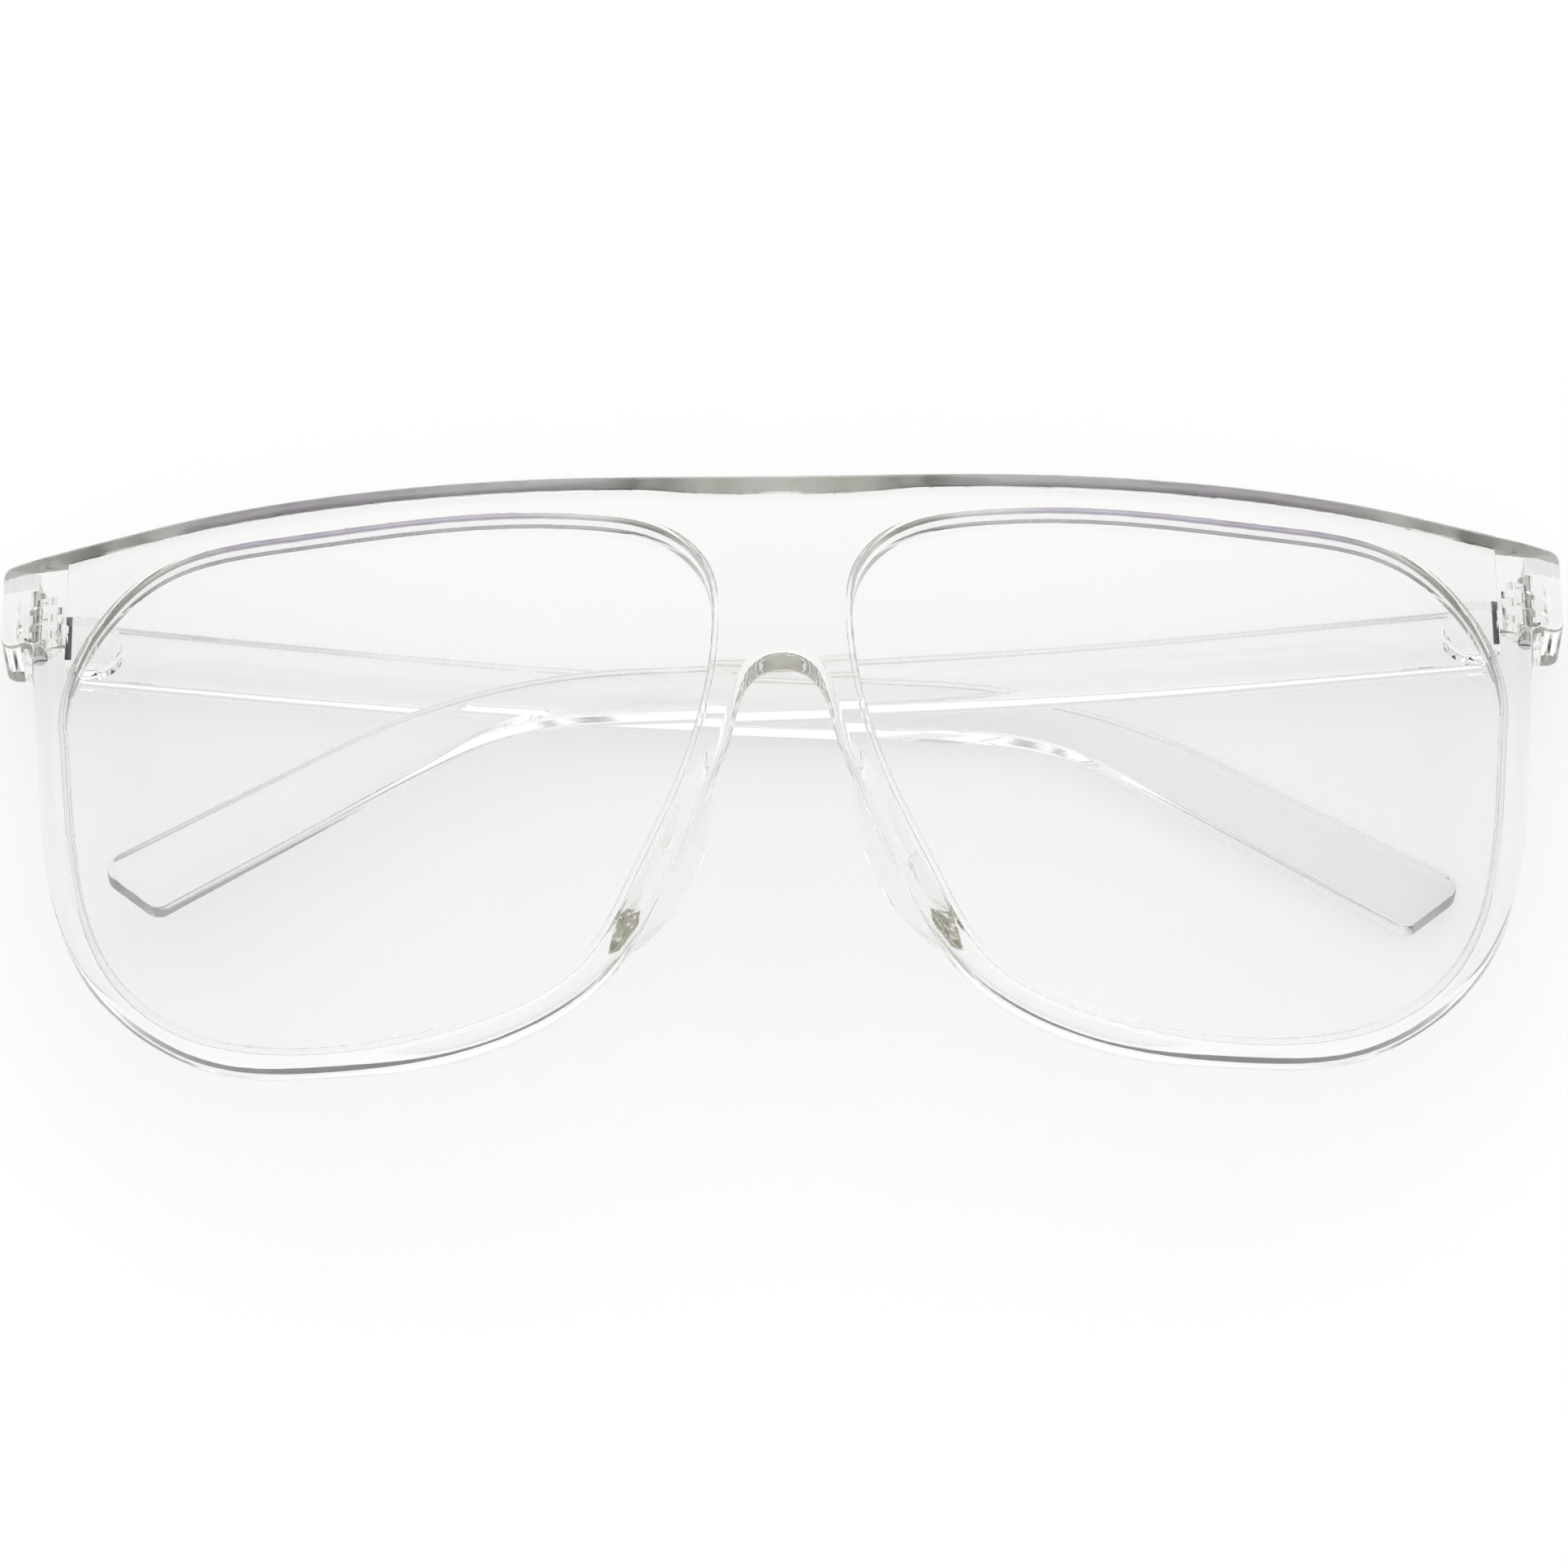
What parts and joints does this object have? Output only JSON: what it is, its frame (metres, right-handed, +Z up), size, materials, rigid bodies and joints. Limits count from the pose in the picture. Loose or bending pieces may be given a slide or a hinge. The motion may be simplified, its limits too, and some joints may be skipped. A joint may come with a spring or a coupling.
{
  "type": "flat top sunglasses",
  "caption": "Wrap-around flat top eyewear in clear plastic with a straight brow bar, large clear lenses and folding temples on screwed leaf hinges.",
  "frame": {"origin": "on the table under the middle of the front, at the middle of the front's height", "axes": "+X along the front towards the right-hand temple of the picture, +Y towards the brow bar, +Z up from the table, out of the front face"},
  "size_m": [0.15, 0.0618, 0.0241],
  "materials": {
    "clear_frame": "polished crystal clear moulded plastic",
    "clear_temple": "polished crystal clear moulded plastic",
    "lens": "clear polished lens with a faint cool tint",
    "screw_steel": "turned steel"
  },
  "bodies": {
    "front": {"frame_front": "clear_frame", "lens_left": "lens", "lens_right": "lens", "hinge_screw_left": "screw_steel", "hinge_screw_right": "screw_steel"},
    "temple_left": {"temple_left": "clear_temple"},
    "temple_right": {"temple_right": "clear_temple"}
  },
  "joints": [
    {"name": "temple_left_hinge", "type": "hinge", "parent": "front", "child": "temple_left", "pos_m": [-0.071, 0.0235, 0.00721], "axis": [0, 1, 0], "range_deg": [0, 88.65]},
    {"name": "temple_right_hinge", "type": "hinge", "parent": "front", "child": "temple_right", "pos_m": [0.071, 0.0235, 0.00721], "axis": [0, -1, 0], "range_deg": [0, 91.35]}
  ]
}
